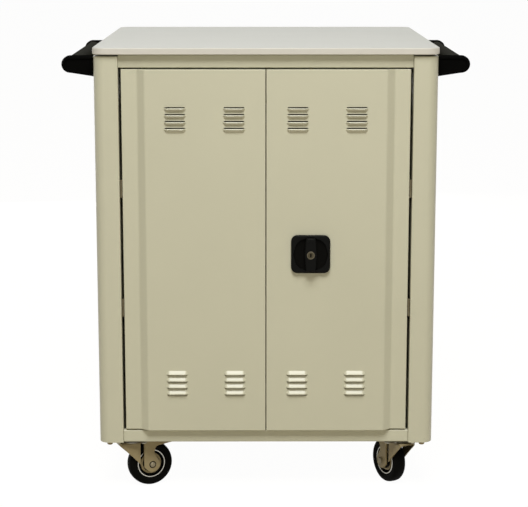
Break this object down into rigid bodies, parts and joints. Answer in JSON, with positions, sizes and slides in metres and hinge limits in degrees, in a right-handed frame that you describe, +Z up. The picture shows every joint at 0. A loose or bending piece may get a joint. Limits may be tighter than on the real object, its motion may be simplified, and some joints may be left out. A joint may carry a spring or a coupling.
{
  "type": "laptop charging cart",
  "caption": "Steel cabinet cart on swivel casters with two louvred doors, a turning lock, side push handles and inner racks that hold and charge laptops.",
  "frame": {"origin": "on the floor, under the middle of the cart's overall box", "axes": "+X to the viewer's right when facing the doors, +Y to the back, +Z up; the doors face -Y"},
  "size_m": [0.96, 0.8724, 1.07],
  "materials": {
    "cream_paint": "satin powder coat, cream",
    "laminate": "matt laminate on board, off-white",
    "black_plastic": "fine moulded texture, black",
    "zinc": "zinc-plated pressed steel",
    "steel": "bare turned steel",
    "rubber": "black rubber",
    "grey_plastic": "dark grey moulded plastic"
  },
  "bodies": {
    "cabinet": {"worktop": "laminate", "post_front_left": "cream_paint", "post_front_right": "cream_paint", "post_rear_left": "cream_paint", "post_rear_right": "cream_paint", "base_pan": "cream_paint", "front_header": "cream_paint", "rear_header": "cream_paint", "side_panel_left": "cream_paint", "side_panel_right": "cream_paint", "rear_panel": "cream_paint", "hinge_upper_left_post_half": "steel", "hinge_lower_left_post_half": "steel", "hinge_upper_right_post_half": "steel", "hinge_lower_right_post_half": "steel", "handle_left_front_arm": "black_plastic", "handle_left_rear_arm": "black_plastic", "handle_left_bar": "grey_plastic", "handle_right_front_arm": "black_plastic", "handle_right_rear_arm": "black_plastic", "handle_right_bar": "grey_plastic", "caster_front_left_plate": "zinc", "caster_front_right_plate": "zinc", "caster_rear_left_plate": "zinc", "caster_rear_right_plate": "zinc", "middle_shelf": "cream_paint", "rack_upper": "cream_paint", "rack_lower": "cream_paint", "socket_strip_upper": "grey_plastic", "socket_strip_lower": "grey_plastic", "mains_inlet": "black_plastic"},
    "left_door": {"door_left": "cream_paint", "hinge_upper_left_door_half": "steel", "hinge_lower_left_door_half": "steel"},
    "right_door": {"door_right": "cream_paint", "hinge_upper_right_door_half": "steel", "hinge_lower_right_door_half": "steel", "lock_escutcheon": "black_plastic", "lock_case": "zinc"},
    "lock_handle": {"lock_grip": "black_plastic", "lock_cam": "zinc"},
    "key_cylinder": {"key_plug": "steel"},
    "upper_rod": {"lock_rod_upper": "zinc"},
    "lower_rod": {"lock_rod_lower": "zinc"},
    "front_left_swivel": {"caster_front_left_fork": "zinc", "caster_front_left_axle": "steel"},
    "front_left_wheel": {"caster_front_left_rim": "zinc", "caster_front_left_tyre": "rubber"},
    "front_right_swivel": {"caster_front_right_fork": "zinc", "caster_front_right_axle": "steel"},
    "front_right_wheel": {"caster_front_right_rim": "zinc", "caster_front_right_tyre": "rubber"},
    "rear_left_swivel": {"caster_rear_left_fork": "zinc", "caster_rear_left_axle": "steel"},
    "rear_left_wheel": {"caster_rear_left_rim": "zinc", "caster_rear_left_tyre": "rubber"},
    "rear_right_swivel": {"caster_rear_right_fork": "zinc", "caster_rear_right_axle": "steel"},
    "rear_right_wheel": {"caster_rear_right_rim": "zinc", "caster_rear_right_tyre": "rubber"}
  },
  "joints": [
    {"name": "left_door_swing", "type": "hinge", "parent": "cabinet", "child": "left_door", "pos_m": [-0.339, -0.39985, 0.59], "axis": [0, 0, -1], "range_deg": [0, 105]},
    {"name": "right_door_swing", "type": "hinge", "parent": "cabinet", "child": "right_door", "pos_m": [0.339, -0.39985, 0.59], "axis": [0, 0, 1], "range_deg": [0, 105]},
    {"name": "lock_turn", "type": "hinge", "parent": "right_door", "child": "lock_handle", "pos_m": [0.105, -0.41385, 0.5885], "axis": [0, 1, 0], "range_deg": [0, 90]},
    {"name": "key_turn", "type": "hinge", "parent": "lock_handle", "child": "key_cylinder", "pos_m": [0.105, -0.42585, 0.5885], "axis": [0, 1, 0], "range_deg": [0, 90]},
    {"name": "upper_rod_slide", "type": "slide", "parent": "right_door", "child": "upper_rod", "axis": [0, 0, 1], "range_m": [0, 0.012]},
    {"name": "lower_rod_slide", "type": "slide", "parent": "right_door", "child": "lower_rod", "axis": [0, 0, -1], "range_m": [0, 0.012]},
    {"name": "front_left_swivel_turn", "type": "hinge", "parent": "cabinet", "child": "front_left_swivel", "pos_m": [-0.325, -0.35485, 0.115], "axis": [0, 0, 1], "continuous": true},
    {"name": "front_left_wheel_roll", "type": "hinge", "parent": "front_left_swivel", "child": "front_left_wheel", "pos_m": [-0.28467, -0.33855, 0.055], "axis": [-0.3746, 0.9272, 0], "continuous": true},
    {"name": "front_right_swivel_turn", "type": "hinge", "parent": "cabinet", "child": "front_right_swivel", "pos_m": [0.325, -0.35485, 0.115], "axis": [0, 0, 1], "continuous": true},
    {"name": "front_right_wheel_roll", "type": "hinge", "parent": "front_right_swivel", "child": "front_right_wheel", "pos_m": [0.30391, -0.3168, 0.055], "axis": [-0.8746, -0.4848, 0], "continuous": true},
    {"name": "rear_left_swivel_turn", "type": "hinge", "parent": "cabinet", "child": "rear_left_swivel", "pos_m": [-0.325, 0.37715, 0.115], "axis": [0, 0, 1], "continuous": true},
    {"name": "rear_left_wheel_roll", "type": "hinge", "parent": "rear_left_swivel", "child": "rear_left_wheel", "pos_m": [-0.28659, 0.35673, 0.055], "axis": [0.4695, 0.8829, 0], "continuous": true},
    {"name": "rear_right_swivel_turn", "type": "hinge", "parent": "cabinet", "child": "rear_right_swivel", "pos_m": [0.325, 0.37715, 0.115], "axis": [0, 0, 1], "continuous": true},
    {"name": "rear_right_wheel_roll", "type": "hinge", "parent": "rear_right_swivel", "child": "rear_right_wheel", "pos_m": [0.28558, 0.35877, 0.055], "axis": [0.4226, -0.9063, 0], "continuous": true}
  ],
  "couplings": [
    {"joint": "upper_rod_slide", "follows": "lock_turn", "m_per_rad": 0.007639},
    {"joint": "lower_rod_slide", "follows": "lock_turn", "m_per_rad": 0.007639}
  ]
}
